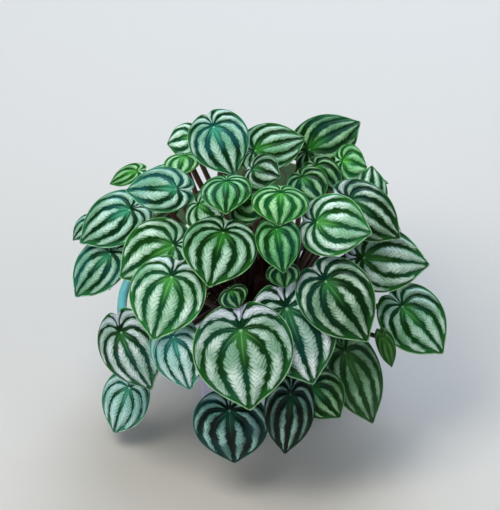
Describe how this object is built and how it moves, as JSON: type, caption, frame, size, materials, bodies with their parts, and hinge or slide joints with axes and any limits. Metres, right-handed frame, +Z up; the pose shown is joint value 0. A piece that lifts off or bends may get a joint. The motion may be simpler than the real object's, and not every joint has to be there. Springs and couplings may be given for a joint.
{
  "type": "potted peperomia",
  "caption": "Watermelon peperomia in a plain tapered plastic pot: shield-shaped striped leaves on fleshy stalks in a round ball of foliage that hangs over the pot.",
  "frame": {"origin": "centre of the pot's flat foot, on the surface that it stands on", "axes": "+Z up along the pot's axis; the plant's front, as pictured, faces -Y; +X to the right as seen from the front"},
  "size_m": [0.2645, 0.2685, 0.2452],
  "materials": {
    "pot_plastic": "satin",
    "potting_mix": "matte",
    "leaf_stalks": "satin",
    "leaf_blades": "satin"
  },
  "bodies": {
    "root": {"pot": "pot_plastic", "soil": "potting_mix", "crown_1": "leaf_stalks", "crown_2": "leaf_stalks", "crown_3": "leaf_stalks", "leaf_01": "leaf_blades", "leaf_02": "leaf_blades", "leaf_03": "leaf_blades", "leaf_04": "leaf_blades", "leaf_05": "leaf_blades", "leaf_06": "leaf_blades", "leaf_07": "leaf_blades", "leaf_08": "leaf_blades", "leaf_09": "leaf_blades", "leaf_10": "leaf_blades", "leaf_11": "leaf_blades", "leaf_12": "leaf_blades", "leaf_13": "leaf_blades", "leaf_14": "leaf_blades", "leaf_15": "leaf_blades", "leaf_16": "leaf_blades", "leaf_17": "leaf_blades", "leaf_18": "leaf_blades", "leaf_19": "leaf_blades", "leaf_20": "leaf_blades", "leaf_21": "leaf_blades", "leaf_22": "leaf_blades", "leaf_23": "leaf_blades", "leaf_24": "leaf_blades", "leaf_25": "leaf_blades", "leaf_26": "leaf_blades", "leaf_27": "leaf_blades", "leaf_28": "leaf_blades", "leaf_29": "leaf_blades", "leaf_30": "leaf_blades", "leaf_31": "leaf_blades", "leaf_32": "leaf_blades", "leaf_33": "leaf_blades", "leaf_34": "leaf_blades", "leaf_35": "leaf_blades", "leaf_36": "leaf_blades", "leaf_37": "leaf_blades", "leaf_38": "leaf_blades", "leaf_39": "leaf_blades", "leaf_40": "leaf_blades", "leaf_41": "leaf_blades", "leaf_42": "leaf_blades", "leaf_43": "leaf_blades", "leaf_44": "leaf_blades", "leaf_45": "leaf_blades", "leaf_46": "leaf_blades", "leaf_47": "leaf_blades", "leaf_48": "leaf_blades", "leaf_49": "leaf_blades", "leaf_50": "leaf_blades", "leaf_51": "leaf_blades", "leaf_52": "leaf_blades", "leaf_53": "leaf_blades", "leaf_54": "leaf_blades", "leaf_55": "leaf_blades"}
  },
  "joints": []
}
